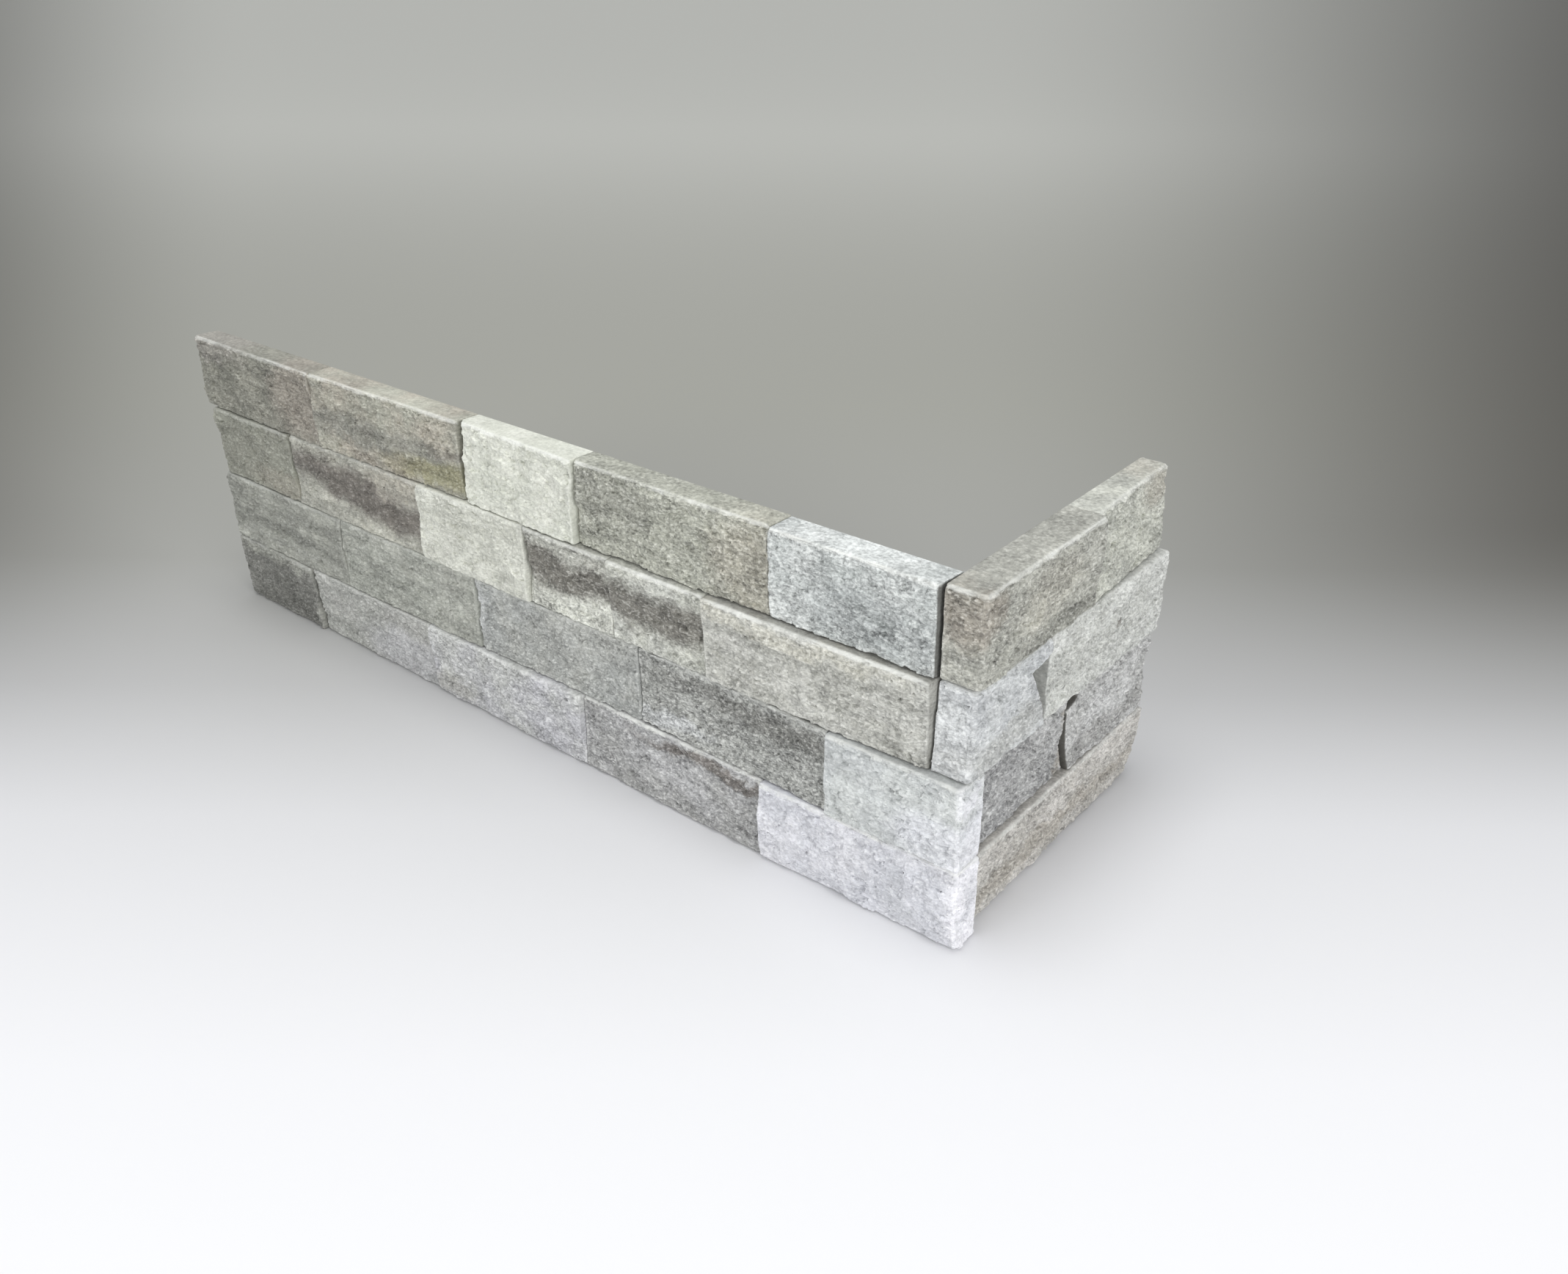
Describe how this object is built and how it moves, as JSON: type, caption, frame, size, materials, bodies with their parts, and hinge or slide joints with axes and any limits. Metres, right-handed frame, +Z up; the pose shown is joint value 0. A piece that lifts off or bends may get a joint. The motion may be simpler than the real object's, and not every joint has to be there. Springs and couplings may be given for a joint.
{
  "type": "ledger stone veneer corner",
  "caption": "L-shaped corner panel of split quartzite ledger stones in level courses, bonded to the outside corner of a wall as stone cladding.",
  "frame": {"origin": "foot of the inner corner, where the two sawn backs meet on the floor", "axes": "+Z up; the long leg runs along -X with its back on y = 0 and faces -Y; the short leg runs along +Y with its back on x = 0 and faces +X"},
  "size_m": [0.48, 0.1588, 0.15],
  "materials": {
    "white_quartzite": "matte",
    "pale_grey_quartzite": "matte",
    "grey_quartzite": "matte",
    "dark_quartzite": "matte",
    "beige_quartzite": "matte",
    "banded_quartzite": "matte"
  },
  "bodies": {
    "root": {"corner_base": "white_quartzite", "long_base_1": "dark_quartzite", "long_base_2": "pale_grey_quartzite", "long_base_3": "pale_grey_quartzite", "long_base_4": "dark_quartzite", "short_base_1": "beige_quartzite", "corner_lower": "pale_grey_quartzite", "long_lower_1": "dark_quartzite", "long_lower_2": "grey_quartzite", "long_lower_3": "grey_quartzite", "long_lower_4": "beige_quartzite", "short_lower_1": "grey_quartzite", "short_lower_2": "pale_grey_quartzite", "corner_upper": "white_quartzite", "short_upper_1": "pale_grey_quartzite", "long_upper_1": "beige_quartzite", "long_upper_2": "banded_quartzite", "long_upper_3": "banded_quartzite", "long_upper_4": "white_quartzite", "long_upper_5": "banded_quartzite", "long_upper_6": "grey_quartzite", "corner_top": "grey_quartzite", "short_top_1": "pale_grey_quartzite", "long_top_1": "white_quartzite", "long_top_2": "grey_quartzite", "long_top_3": "white_quartzite", "long_top_4": "banded_quartzite", "long_top_5": "grey_quartzite"}
  },
  "joints": []
}
